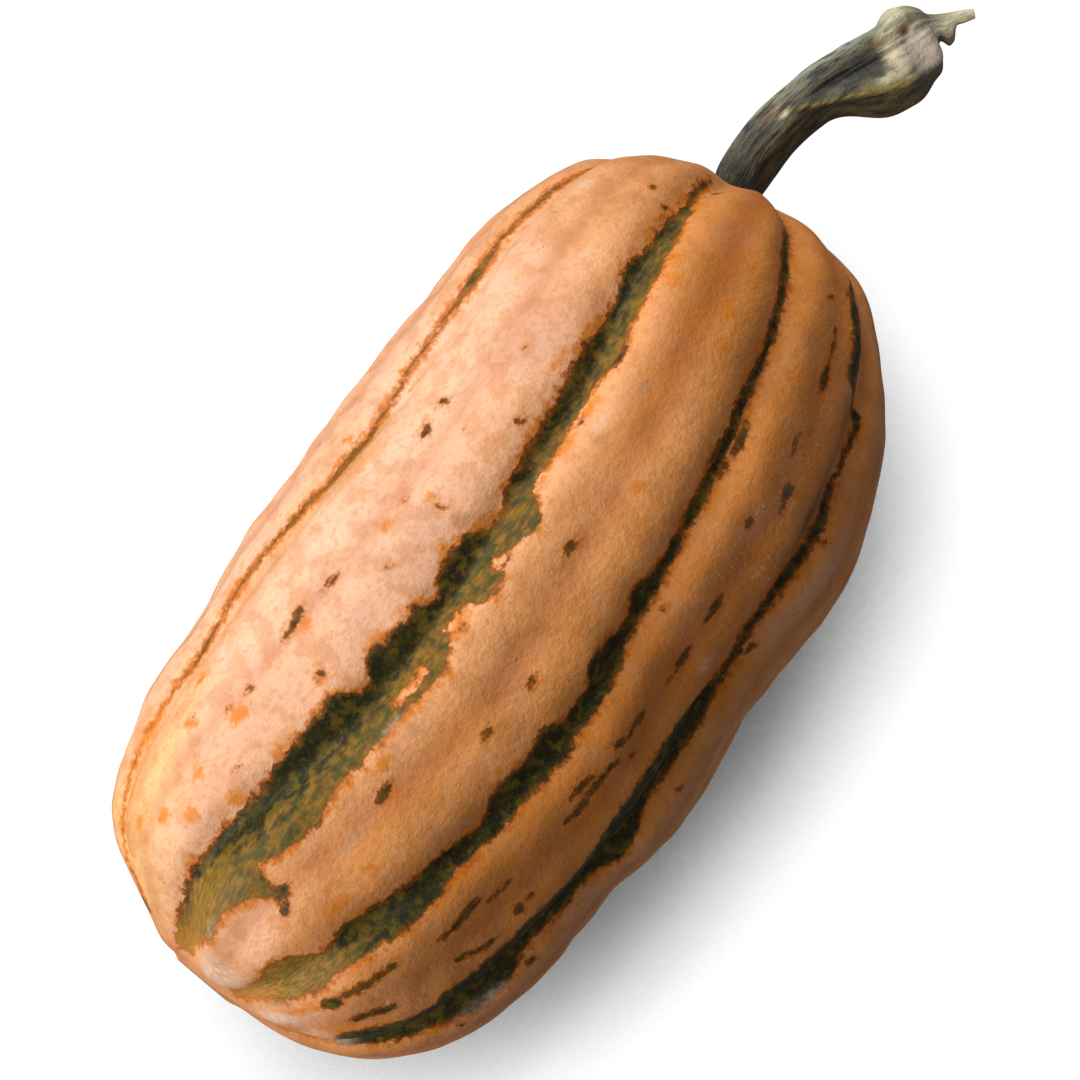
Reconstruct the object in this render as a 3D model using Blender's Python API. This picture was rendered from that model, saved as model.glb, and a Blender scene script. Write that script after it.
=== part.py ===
"""A delicata squash lying on its side: the ribbed fruit, and the woody stem that it was cut with.

Metres, +Z up. +X runs along the fruit from its blossom end to its stem. The origin is the middle of the
small flat spot that the fruit lies on. Angles round the fruit start straight up and grow towards -Y.
"""

import bmesh
import bpy
import numpy as np
from mathutils import Vector

# Main sizes of the fruit
FRUIT_LENGTH = 0.1694
FRUIT_RADIUS = 0.0456
HEIGHT_SHARE = 0.97
AXIS_HEIGHT = 0.0431
MIDDLE_X = -0.0059
MIDDLE_Y = 0.0015

# Outline of the fruit: girth along its length, and how square each end is
GIRTH_PLACES = (-1.0, -0.88, -0.66, -0.42, -0.17, 0.08, 0.25, 0.42, 0.60, 0.75, 0.90, 1.0)
GIRTH_SHARES = (0.880, 0.982, 0.995, 0.976, 1.002, 0.990, 0.998, 1.020, 1.024, 1.015, 0.975, 0.900)
SIDE_PLACES = (-1.0, -0.83, -0.42, -0.17, 0.08, 0.25, 0.42, 0.57, 0.75, 0.90, 1.0)
SIDE_SHIFTS = (0.0, 0.0009, 0.0004, -0.0006, -0.0004, -0.0013, -0.0019, -0.0006, 0.0007, 0.0018, 0.0)
BLOSSOM_SQUARENESS = 3.0
STEM_SQUARENESS = 2.8
BLOSSOM_DIMPLE = 0.0022
BLOSSOM_DIMPLE_RADIUS = 0.009
SCAR_RADIUS = 0.0050
SCAR_HALF_WIDTH = 0.0018
SCAR_HEIGHT = 0.0010
STEM_DIMPLE = 0.0032
STEM_DIMPLE_RADIUS = 0.011
BLOSSOM_POLE_SIDE = 0.0075
STEM_POLE_SIDE = 0.0083
POLE_LEAN_POWER = 3.0
BLOSSOM_TILT = 0.10
STEM_TILT = 0.09
TILT_START = 0.70
ARCH_RISE = 0.0030

# Grooves: degrees round the fruit at five places from the blossom end to the stem end, and depth
GROOVES = (
    ((-71.0, -60.8, -52.8, -54.0, -62.0), 0.0014),
    ((-28.0, -9.5, -7.5, -12.5, -17.5), 0.0024),
    ((18.0, 30.3, 30.7, 23.6, 22.5), 0.0018),
    ((65.0, 66.0, 61.0, 55.7, 62.2), 0.0020),
    ((95.0, 92.0, 87.0, 87.0, 92.0), 0.0014),
    ((126.0, 125.0, 120.0, 121.0, 124.0), 0.0019),
    ((158.0, 160.0, 158.0, 156.0, 156.0), 0.0016),
    ((196.0, 198.0, 196.0, 194.0, 192.0), 0.0016),
    ((230.0, 232.0, 233.0, 232.0, 228.0), 0.0019),
    ((260.0, 265.0, 271.0, 270.0, 264.0), 0.0016),
)
GROOVE_PLACES = (-0.9, -0.45, 0.0, 0.45, 0.9)
GROOVE_HALF_WIDTH = 0.0036
RIB_CROWN = 0.0009
RIB_VALLEY_DEPTH = 0.0007
RIB_VALLEY_HALF_WIDTH = 0.0040
RELIEF_FADE = 0.016

# Soft lumps of the rind, as waves in seeded directions
LUMP_SEED = 7
LUMP_COUNT = 14
LUMP_HEIGHT = 0.00028
LUMP_LENGTH = 0.028

# Stem: a swept, ridged stalk whose root sits in a socket in the fruit. Each station is a point of its middle
# line and the radius there; the last three draw the broken splinter at its cut end.
SOCKET_RADIUS = 0.0045
SOCKET_DEPTH = 0.0045
STEM_STATIONS = (
    (0.0772, 0.0083, 0.0030, 0.0040),
    (0.0814, 0.0083, 0.0031, 0.0041),
    (0.0850, 0.0086, 0.0034, 0.0046),
    (0.0893, 0.0087, 0.0039, 0.0045),
    (0.0936, 0.0084, 0.0045, 0.0045),
    (0.0980, 0.0077, 0.0051, 0.0045),
    (0.1023, 0.0066, 0.0056, 0.0046),
    (0.1065, 0.0052, 0.0061, 0.0048),
    (0.1126, 0.0023, 0.0066, 0.0050),
    (0.1189, -0.0010, 0.0070, 0.0052),
    (0.1232, -0.0026, 0.0072, 0.0052),
    (0.1252, -0.0034, 0.0074, 0.0040),
    (0.1263, -0.0039, 0.0075, 0.0019),
    (0.1281, -0.0055, 0.0077, 0.0012),
    (0.1302, -0.0077, 0.0078, 0.0012),
    (0.1320, -0.0093, 0.0078, 0.0009),
)
STEM_RADIUS = 0.0046
SPLINTER_RADIUS = 0.0010
STEM_RIDGES = 5
STEM_RIDGE_HEIGHT = 0.00045
STEM_TWIST = 14.0
BARE_ROOT = 0.006
GROWING_IN = 0.006
# Forms of the stem: metres from its root, degrees round it, height, half length, half width in degrees
STEM_FORMS = (
    (0.0402, 90.0, 0.0053, 0.0084, 32.0),
    (0.0506, 86.0, 0.0018, 0.0030, 30.0),
    (0.0355, 18.0, -0.0018, 0.0100, 26.0),
    (0.0470, -48.0, 0.0008, 0.0034, 40.0),
    (0.0460, -92.0, 0.0008, 0.0022, 34.0),
    (0.0416, -98.0, -0.0006, 0.0030, 30.0),
    (0.0542, 82.0, 0.0032, 0.0015, 34.0),
    (0.0240, -4.0, 0.0006, 0.0020, 14.0),
)
# The crest of the fold: metres from the root, and degrees round the stem there
CREST_PLACES = (0.022, 0.029, 0.036, 0.050)
CREST_ANGLES = (2.0, 38.0, 53.0, 60.0)
CREST_HEIGHT = 0.0020
CREST_HALF_WIDTH = 12.0
CREST_GROWING_IN = 0.004

# How finely each surface is divided
FRUIT_RINGS = 52
FRUIT_SIDES = 80
END_CROWDING = 0.4
RINGS_A_STATION = 3
RING_EVENING = 2
STEM_SIDES = 32
FINE = 4000


def smooth(at, places, values):
    """A smooth curve through values at places, read at the points in at."""
    places = np.asarray(places, float)
    values = np.asarray(values, float)
    slopes = np.gradient(values, places, axis=0)
    at = np.clip(at, places[0], places[-1])
    i = np.clip(np.searchsorted(places, at) - 1, 0, len(places) - 2)
    span = places[i + 1] - places[i]
    t = (at - places[i]) / span
    if values.ndim > 1:
        span, t = span[:, None], t[:, None]
    return (
        values[i] * (2 * t**3 - 3 * t**2 + 1)
        + values[i + 1] * (3 * t**2 - 2 * t**3)
        + slopes[i] * span * (t**3 - 2 * t**2 + t)
        + slopes[i + 1] * span * (t**3 - t**2)
    )


def meridian(rings):
    """The fruit's outline from its blossom pole to the socket: x, radius, normal in x and in radius, and the
    place along the length from -1 to 1, at evenly graded steps that are closer at both ends."""
    turn = np.linspace(0.0, np.pi, FINE)
    c, s = np.cos(turn), np.sin(turn)
    power = np.where(c > 0, 2 / BLOSSOM_SQUARENESS, 2 / STEM_SQUARENESS)
    u = -np.sign(c) * np.abs(c) ** power
    radius = FRUIT_RADIUS * s**power * smooth(u, GIRTH_PLACES, GIRTH_SHARES)
    x = FRUIT_LENGTH / 2 * u
    x = x + np.where(u < 0, BLOSSOM_DIMPLE * np.exp(-((radius / BLOSSOM_DIMPLE_RADIUS) ** 2)), 0.0)
    x = x - np.where(u < 0, SCAR_HEIGHT * np.exp(-(((radius - SCAR_RADIUS) / SCAR_HALF_WIDTH) ** 2)), 0.0)
    x = x - np.where(u > 0, STEM_DIMPLE * np.exp(-((radius / STEM_DIMPLE_RADIUS) ** 2)), 0.0)
    keep = (u < 0) | (radius > SOCKET_RADIUS)
    x, radius, u = x[keep], radius[keep], u[keep]
    step = np.hypot(np.diff(x), np.diff(radius))
    length = np.concatenate([[0.0], np.cumsum(step)])
    share = np.linspace(0.0, 1.0, rings)
    share = share - END_CROWDING * np.sin(2 * np.pi * share) / (2 * np.pi)
    at = share * length[-1]
    normal_x = -np.gradient(radius, length)
    normal_r = np.gradient(x, length)
    return tuple(np.interp(at, length, v) for v in (x, radius, normal_x, normal_r, u))


def groove_field(u, turn):
    """For each ring and angle: the place between two grooves from 0 to 1, the angle to the nearest groove, the
    angle between the two, and the depth of the nearest."""
    shape = (len(u), len(turn))
    below = np.full(shape, np.inf)
    above = np.full(shape, np.inf)
    depth_below = np.zeros(shape)
    depth_above = np.zeros(shape)
    for angles, depth in GROOVES:
        middle = np.radians(smooth(u, GROOVE_PLACES, angles))[:, None]
        ahead = (turn[None, :] - middle) % (2 * np.pi)
        behind = 2 * np.pi - ahead
        depth_below = np.where(ahead < below, depth, depth_below)
        below = np.minimum(below, ahead)
        depth_above = np.where(behind < above, depth, depth_above)
        above = np.minimum(above, behind)
    gap = below + above
    nearest = np.minimum(below, above)
    depth = np.where(below < above, depth_below, depth_above)
    return below / gap, nearest, gap, depth


def lumps(x, y, z):
    """A gentle unevenness of the rind, the same on every run."""
    random = np.random.default_rng(LUMP_SEED)
    height = np.zeros(np.broadcast(x, y, z).shape)
    for _ in range(LUMP_COUNT):
        direction = random.normal(size=3)
        direction *= 2 * np.pi / LUMP_LENGTH * random.uniform(0.6, 1.5) / np.linalg.norm(direction)
        phase = random.uniform(0, 2 * np.pi)
        height += np.sin(direction[0] * x + direction[1] * y + direction[2] * z + phase)
    return height * LUMP_HEIGHT * np.sqrt(2 / LUMP_COUNT)


def fruit_points(rings, sides):
    """Points of the rind, ring by ring from the blossom pole to the socket, measured from the fruit's middle."""
    x, radius, normal_x, normal_r, u = meridian(rings)
    turn = np.linspace(0.0, 2 * np.pi, sides, endpoint=False)
    place, nearest, gap, depth = groove_field(u, turn)
    around = radius[:, None]
    groove = -depth * np.exp(-((nearest * around / GROOVE_HALF_WIDTH) ** 2))
    crown = RIB_CROWN * (np.sin(np.pi * place) - 1)
    valley = -RIB_VALLEY_DEPTH * np.exp(-(((place - 0.5) * gap * around / RIB_VALLEY_HALF_WIDTH) ** 2))
    edge = np.where(u > 0, SOCKET_RADIUS, SCAR_RADIUS)
    fade = np.clip((radius - edge) / RELIEF_FADE, 0.0, 1.0)[:, None]
    fade = fade * fade * (3 - 2 * fade)
    flat_y = -around * np.sin(turn)
    flat_z = around * np.cos(turn)
    relief = fade * (groove + crown + valley + lumps(x[:, None], flat_y, flat_z))
    lean = np.clip((radius.max() - radius) / (radius.max() - SOCKET_RADIUS), 0.0, 1.0) ** POLE_LEAN_POWER
    centre_y = lean * np.where(u < 0, BLOSSOM_POLE_SIDE, STEM_POLE_SIDE) + smooth(u, SIDE_PLACES, SIDE_SHIFTS)
    centre_z = ARCH_RISE * u**2
    out = around + relief * normal_r[:, None]
    tilt = np.clip((np.abs(u) - TILT_START) / (1 - TILT_START), 0.0, 1.0) ** 2
    tilt = tilt * np.where(u < 0, BLOSSOM_TILT, -STEM_TILT)
    py = centre_y[:, None] - out * np.sin(turn)
    px = x[:, None] + relief * normal_x[:, None] + tilt[:, None] * py
    pz = centre_z[:, None] + HEIGHT_SHARE * out * np.cos(turn)
    return np.stack([px, py, pz], axis=-1)


def add_ring(bm, points):
    return [bm.verts.new(Vector(p)) for p in points]


def join_rings(bm, first, second):
    """A band of four-sided faces between two rings of as many points."""
    count = len(first)
    for i in range(count):
        j = (i + 1) % count
        bm.faces.new((first[i], first[j], second[j], second[i]))


def close_ring(bm, ring, point):
    """A fan of triangles from a ring to a point."""
    tip = bm.verts.new(Vector(point))
    for i in range(len(ring)):
        bm.faces.new((ring[i], ring[(i + 1) % len(ring)], tip))


def material(name, colour, roughness):
    made = bpy.data.materials.new(name)
    made.use_nodes = True
    shader = made.node_tree.nodes["Principled BSDF"]
    shader.inputs["Base Color"].default_value = (*colour, 1.0)
    shader.inputs["Roughness"].default_value = roughness
    shader.inputs["Metallic"].default_value = 0.0
    return made


def new_object(name, bm, finish, parent):
    bmesh.ops.recalc_face_normals(bm, faces=bm.faces)
    mesh = bpy.data.meshes.new(name)
    bm.to_mesh(mesh)
    bm.free()
    mesh.shade_smooth()
    mesh.materials.append(finish)
    made = bpy.data.objects.new(name, mesh)
    bpy.context.scene.collection.objects.link(made)
    made.parent = parent
    return made


def make_fruit(parent):
    """The ribbed rind, closed round a socket for the stem and cut flat where it lies."""
    points = fruit_points(FRUIT_RINGS, FRUIT_SIDES)
    bm = bmesh.new()
    rings = [add_ring(bm, ring) for ring in points[1:]]
    for first, second in zip(rings, rings[1:]):
        join_rings(bm, first, second)
    close_ring(bm, rings[0], points[0].mean(axis=0))
    floor = add_ring(bm, points[-1] - np.array([SOCKET_DEPTH, 0.0, 0.0]))
    join_rings(bm, rings[-1], floor)
    close_ring(bm, floor, points[-1].mean(axis=0) - np.array([SOCKET_DEPTH, 0.0, 0.0]))
    bmesh.ops.recalc_face_normals(bm, faces=bm.faces)
    cut = bmesh.ops.bisect_plane(
        bm,
        geom=bm.verts[:] + bm.edges[:] + bm.faces[:],
        plane_co=(0.0, 0.0, -AXIS_HEIGHT),
        plane_no=(0.0, 0.0, -1.0),
        clear_outer=True,
    )
    rim = [item for item in cut["geom_cut"] if isinstance(item, bmesh.types.BMEdge)]
    bmesh.ops.edgeloop_fill(bm, edges=rim)
    return new_object("fruit", bm, material("rind", (0.74, 0.40, 0.21), 0.45), parent)


def turned(turn, middle):
    """The angle from middle, in degrees, to turn, in radians, the short way round."""
    return (turn - np.radians(middle) + np.pi) % (2 * np.pi) - np.pi


def evened(rows, reach):
    """Each row averaged with the reach rows before and after it."""
    padded = np.pad(rows, ((reach, reach), (0, 0)), mode="edge")
    return np.stack([padded[i : i + len(rows)] for i in range(2 * reach + 1)]).mean(axis=0)


def stem_points(rings_a_station, sides):
    """Points of the stem, ring by ring from its root to its splinter, measured from the fruit's middle."""
    stations = np.array(STEM_STATIONS)
    count = len(stations)
    swept = smooth(np.linspace(0, count - 1, (count - 1) * rings_a_station + 1), np.arange(count), stations)
    line = swept[:, :3]
    core = swept[:, 3][:, None]
    forward = np.gradient(line, axis=0)
    forward /= np.linalg.norm(forward, axis=1)[:, None]
    # The rings turn evenly where the line bends, so that none of them cuts the next.
    forward = evened(forward, RING_EVENING * rings_a_station)
    forward /= np.linalg.norm(forward, axis=1)[:, None]
    side = np.cross(forward, (0.0, 0.0, 1.0))
    side /= np.linalg.norm(side, axis=1)[:, None]
    up = np.cross(side, forward)
    along = np.concatenate([[0.0], np.cumsum(np.linalg.norm(np.diff(line, axis=0), axis=1))])[:, None]
    turn = np.linspace(0.0, 2 * np.pi, sides, endpoint=False)[None, :]
    # Everything starts above the socket. The ridges and the crest die out where the stem narrows to its splinter.
    start = np.clip((along - BARE_ROOT) / GROWING_IN, 0.0, 1.0)
    end = np.clip((core - SPLINTER_RADIUS) / (STEM_RADIUS - SPLINTER_RADIUS), 0.0, 1.0)
    ridges = STEM_RIDGE_HEIGHT * np.cos(STEM_RIDGES * (turn - STEM_TWIST * along))
    crest = turned(turn, smooth(along[:, 0], CREST_PLACES, CREST_ANGLES)[:, None])
    grown = np.clip((along - CREST_PLACES[0]) / CREST_GROWING_IN, 0.0, 1.0)
    crest = CREST_HEIGHT * grown * np.exp(-((crest / np.radians(CREST_HALF_WIDTH)) ** 2))
    relief = (ridges + crest) * end
    for place, angle, height, half_length, half_width in STEM_FORMS:
        far = turned(turn, angle) / np.radians(half_width)
        relief = relief + height * np.exp(-((abs(along - place) / half_length) ** 3) - far**2)
    radius = core + relief * start
    return (
        line[:, None, :]
        + (radius * np.sin(turn))[..., None] * side[:, None, :]
        + (radius * np.cos(turn))[..., None] * up[:, None, :]
    )


def make_stem(parent):
    points = stem_points(RINGS_A_STATION, STEM_SIDES)
    bm = bmesh.new()
    rings = [add_ring(bm, ring) for ring in points]
    for first, second in zip(rings, rings[1:]):
        join_rings(bm, first, second)
    close_ring(bm, rings[0], points[0].mean(axis=0))
    close_ring(bm, rings[-1], points[-1].mean(axis=0))
    return new_object("stem", bm, material("stem_bark", (0.20, 0.19, 0.13), 0.7), parent)


def main():
    for old in list(bpy.data.objects):
        bpy.data.objects.remove(old)
    middle = bpy.data.objects.new("squash_middle", None)
    bpy.context.scene.collection.objects.link(middle)
    middle.location = (MIDDLE_X, MIDDLE_Y, AXIS_HEIGHT)
    make_fruit(middle)
    make_stem(middle)


main()
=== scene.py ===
"""Looks of the delicata squash: its striped rind, its dry stem, and the pale table and soft light round them.

Metres, +Z up. The fruit's length lies along X with its stem at +X. Places on the rind are millimetres along
a rib from the blossom end, and degrees round the fruit that start straight up and grow towards -Y. Places on
the stem are millimetres from its root, and degrees that start on top and grow towards -Y.
"""

import bpy
import numpy as np
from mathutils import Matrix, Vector

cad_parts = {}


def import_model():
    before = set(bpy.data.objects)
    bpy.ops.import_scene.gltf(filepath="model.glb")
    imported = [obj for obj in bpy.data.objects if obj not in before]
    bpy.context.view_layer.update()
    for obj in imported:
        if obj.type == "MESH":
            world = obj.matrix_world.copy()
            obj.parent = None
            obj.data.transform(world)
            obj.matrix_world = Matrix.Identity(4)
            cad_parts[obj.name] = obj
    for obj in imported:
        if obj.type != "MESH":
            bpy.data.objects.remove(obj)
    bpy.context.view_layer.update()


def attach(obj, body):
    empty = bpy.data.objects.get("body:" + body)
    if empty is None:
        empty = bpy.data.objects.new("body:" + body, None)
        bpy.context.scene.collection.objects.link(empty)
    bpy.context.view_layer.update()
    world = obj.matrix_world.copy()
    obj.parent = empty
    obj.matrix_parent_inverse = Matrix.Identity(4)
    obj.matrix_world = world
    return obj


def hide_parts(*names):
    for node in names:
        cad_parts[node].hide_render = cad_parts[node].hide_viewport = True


MM = 0.001

# Shape of the fruit, as in the solid model
FRUIT_LENGTH = 0.1694
FRUIT_RADIUS = 0.0456
HEIGHT_SHARE = 0.97
AXIS_HEIGHT = 0.0431
MIDDLE_X = -0.0059
MIDDLE_Y = 0.0015
GIRTH_PLACES = (-1.0, -0.88, -0.66, -0.42, -0.17, 0.08, 0.25, 0.42, 0.60, 0.75, 0.90, 1.0)
GIRTH_SHARES = (0.880, 0.982, 0.995, 0.976, 1.002, 0.990, 0.998, 1.020, 1.024, 1.015, 0.975, 0.900)
SIDE_PLACES = (-1.0, -0.83, -0.42, -0.17, 0.08, 0.25, 0.42, 0.57, 0.75, 0.90, 1.0)
SIDE_SHIFTS = (0.0, 0.0009, 0.0004, -0.0006, -0.0004, -0.0013, -0.0019, -0.0006, 0.0007, 0.0018, 0.0)
BLOSSOM_SQUARENESS = 3.0
STEM_SQUARENESS = 2.8
BLOSSOM_DIMPLE = 0.0022
BLOSSOM_DIMPLE_RADIUS = 0.009
SCAR_RADIUS = 0.0050
SCAR_HALF_WIDTH = 0.0018
SCAR_HEIGHT = 0.0010
STEM_DIMPLE = 0.0032
STEM_DIMPLE_RADIUS = 0.011
BLOSSOM_POLE_SIDE = 0.0075
STEM_POLE_SIDE = 0.0083
POLE_LEAN_POWER = 3.0
BLOSSOM_TILT = 0.10
STEM_TILT = 0.09
TILT_START = 0.70
ARCH_RISE = 0.0030
GROOVES = (
    ((-71, -60.8, -52.8, -54, -62), 0.0014),
    ((-28, -9.5, -7.5, -12.5, -17.5), 0.0024),
    ((18, 30.3, 30.7, 23.6, 22.5), 0.0018),
    ((65, 66, 61, 55.7, 62.2), 0.0020),
    ((95, 92, 87, 87, 92), 0.0014),
    ((126, 125, 120, 121, 124), 0.0019),
    ((158, 160, 158, 156, 156), 0.0016),
    ((196, 198, 196, 194, 192), 0.0016),
    ((230, 232, 233, 232, 228), 0.0019),
    ((260, 265, 271, 270, 264), 0.0016),
)
GROOVE_PLACES = (-0.9, -0.45, 0.0, 0.45, 0.9)
GROOVE_HALF_WIDTH = 0.0036
RIB_CROWN = 0.0009
RIB_VALLEY_DEPTH = 0.0007
RIB_VALLEY_HALF_WIDTH = 0.0040
RELIEF_FADE = 0.016
LUMP_SEED = 7
LUMP_COUNT = 14
LUMP_HEIGHT = 0.00028
LUMP_LENGTH = 0.028
SOCKET_RADIUS = 0.0045
SOCKET_DEPTH = 0.0045

# Shape of the stem, as in the solid model
STEM_STATIONS = (
    (0.0772, 0.0083, 0.0030, 0.0040),
    (0.0814, 0.0083, 0.0031, 0.0041),
    (0.0850, 0.0086, 0.0034, 0.0046),
    (0.0893, 0.0087, 0.0039, 0.0045),
    (0.0936, 0.0084, 0.0045, 0.0045),
    (0.0980, 0.0077, 0.0051, 0.0045),
    (0.1023, 0.0066, 0.0056, 0.0046),
    (0.1065, 0.0052, 0.0061, 0.0048),
    (0.1126, 0.0023, 0.0066, 0.0050),
    (0.1189, -0.0010, 0.0070, 0.0052),
    (0.1232, -0.0026, 0.0072, 0.0052),
    (0.1252, -0.0034, 0.0074, 0.0040),
    (0.1263, -0.0039, 0.0075, 0.0019),
    (0.1281, -0.0055, 0.0077, 0.0012),
    (0.1302, -0.0077, 0.0078, 0.0012),
    (0.1320, -0.0093, 0.0078, 0.0009),
)
STEM_RADIUS = 0.0046
SPLINTER_RADIUS = 0.0010
STEM_RIDGES = 5
STEM_RIDGE_HEIGHT = 0.00045
STEM_TWIST = 14.0
BARE_ROOT = 0.006
GROWING_IN = 0.006
STEM_FORMS = (
    (0.0402, 90.0, 0.0053, 0.0084, 32.0),
    (0.0506, 86.0, 0.0018, 0.0030, 30.0),
    (0.0355, 18.0, -0.0018, 0.0100, 26.0),
    (0.0470, -48.0, 0.0008, 0.0034, 40.0),
    (0.0460, -92.0, 0.0008, 0.0022, 34.0),
    (0.0416, -98.0, -0.0006, 0.0030, 30.0),
    (0.0542, 82.0, 0.0032, 0.0015, 34.0),
    (0.0240, -4.0, 0.0006, 0.0020, 14.0),
)
CREST_PLACES = (0.022, 0.029, 0.036, 0.050)
CREST_ANGLES = (2.0, 38.0, 53.0, 60.0)
CREST_HEIGHT = 0.0020
CREST_HALF_WIDTH = 12.0
CREST_GROWING_IN = 0.004

# Finer dents of the rind that only the looks carry
DENT_SEED = 12
DENT_COUNT = 26
DENT_HEIGHT = 0.00009
DENT_LENGTH = 0.0095

# Finer forms of the stem that only the looks carry: two pits in its knob, and lumps on its cut end
STEM_FINE_FORMS = (
    (0.0466, -6.0, -0.0010, 0.0010, 11.0),
    (0.0407, -20.0, -0.0007, 0.0007, 8.0),
    (0.0476, -24.0, 0.0005, 0.0010, 12.0),
    (0.0440, 14.0, 0.0004, 0.0016, 16.0),
)
FIBRES = ((11, 0.00012, 130.0), (17, 0.00009, -90.0), (29, 0.00006, 210.0))

# How finely each surface is divided
FRUIT_RINGS = 300
FRUIT_SIDES = 320
END_CROWDING = 0.4
STEM_RINGS_A_STATION = 13
RING_EVENING = 2
STEM_SIDES = 120
FINE = 4000

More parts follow.
